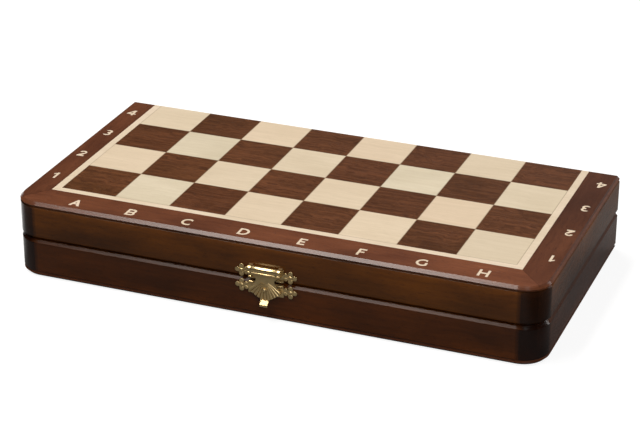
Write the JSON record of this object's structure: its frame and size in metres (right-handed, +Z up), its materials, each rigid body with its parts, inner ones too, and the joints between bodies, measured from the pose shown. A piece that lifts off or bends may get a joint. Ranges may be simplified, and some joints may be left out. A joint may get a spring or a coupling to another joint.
{
  "type": "folding magnetic chess set",
  "caption": "Folding wooden chess case with inlaid squares outside, hinged at the back, with a brass hasp clasp in front and magnetic chessmen in racks inside.",
  "frame": {"origin": "middle of the underside of the closed case, in plan the middle of the wooden case without the clasp", "axes": "+X to the right for a person in front of the clasp, +Y from the clasp towards the hinges, +Z up"},
  "size_m": [0.28, 0.1461, 0.0414],
  "materials": {
    "rail_wood": "dark stain, gloss lacquer",
    "board_wood": "bare fibreboard, stained at the edge",
    "border_veneer": "gloss lacquer",
    "dark_veneer": "gloss lacquer",
    "light_veneer": "gloss lacquer",
    "stringing_veneer": "gloss lacquer",
    "coordinate_inlay": "gloss lacquer",
    "steel": "mill finish",
    "rack_felt": "flocked",
    "tray_felt": "felt",
    "brass": "polished, aged in the recesses",
    "white_men_wood": "satin lacquer",
    "black_men_wood": "satin lacquer",
    "base_felt": "felt",
    "magnet": "nickel plated"
  },
  "bodies": {
    "lower_half": {"lower_front_rail": "rail_wood", "lower_back_rail": "rail_wood", "lower_left_rail": "rail_wood", "lower_right_rail": "rail_wood", "lower_backing_board": "board_wood", "lower_steel_sheet": "steel", "lower_dark_squares": "dark_veneer", "lower_light_squares": "light_veneer", "lower_stringing": "stringing_veneer", "lower_border_veneer": "border_veneer", "lower_coordinates": "coordinate_inlay", "lower_officer_rack": "rack_felt", "lower_pawn_rack": "rack_felt", "lower_felt_lining": "tray_felt", "left_hinge_lower_leaf": "brass", "right_hinge_lower_leaf": "brass", "hinge_pins": "brass", "hinge_lower_screws": "brass", "clasp_lower_plate": "brass", "clasp_lower_nails": "brass", "white_king": "white_men_wood", "white_queen": "white_men_wood", "white_bishops": "white_men_wood", "white_knights": "white_men_wood", "white_rooks": "white_men_wood", "white_pawns": "white_men_wood", "white_base_felts": "base_felt", "white_base_magnets": "magnet"},
    "upper_half": {"upper_front_rail": "rail_wood", "upper_back_rail": "rail_wood", "upper_left_rail": "rail_wood", "upper_right_rail": "rail_wood", "upper_backing_board": "board_wood", "upper_steel_sheet": "steel", "upper_dark_squares": "dark_veneer", "upper_light_squares": "light_veneer", "upper_stringing": "stringing_veneer", "upper_border_veneer": "border_veneer", "upper_coordinates": "coordinate_inlay", "upper_officer_rack": "rack_felt", "upper_pawn_rack": "rack_felt", "upper_felt_lining": "tray_felt", "left_hinge_upper_leaf": "brass", "right_hinge_upper_leaf": "brass", "hinge_upper_screws": "brass", "clasp_upper_plate": "brass", "clasp_pin": "brass", "clasp_upper_nails": "brass", "black_king": "black_men_wood", "black_queen": "black_men_wood", "black_bishops": "black_men_wood", "black_knights": "black_men_wood", "black_rooks": "black_men_wood", "black_pawns": "black_men_wood", "black_base_felts": "base_felt", "black_base_magnets": "magnet"},
    "clasp_hasp": {"clasp_hasp": "brass"}
  },
  "joints": [
    {"name": "lid_open", "type": "hinge", "parent": "lower_half", "child": "upper_half", "pos_m": [0, 0.07015, 0.0207], "axis": [-1, 0, 0], "range_deg": [0, 180]},
    {"name": "hasp_swing", "type": "hinge", "parent": "upper_half", "child": "clasp_hasp", "pos_m": [0, -0.0722, 0.0272], "axis": [-1, 0, 0], "range_deg": [0, 150]}
  ]
}
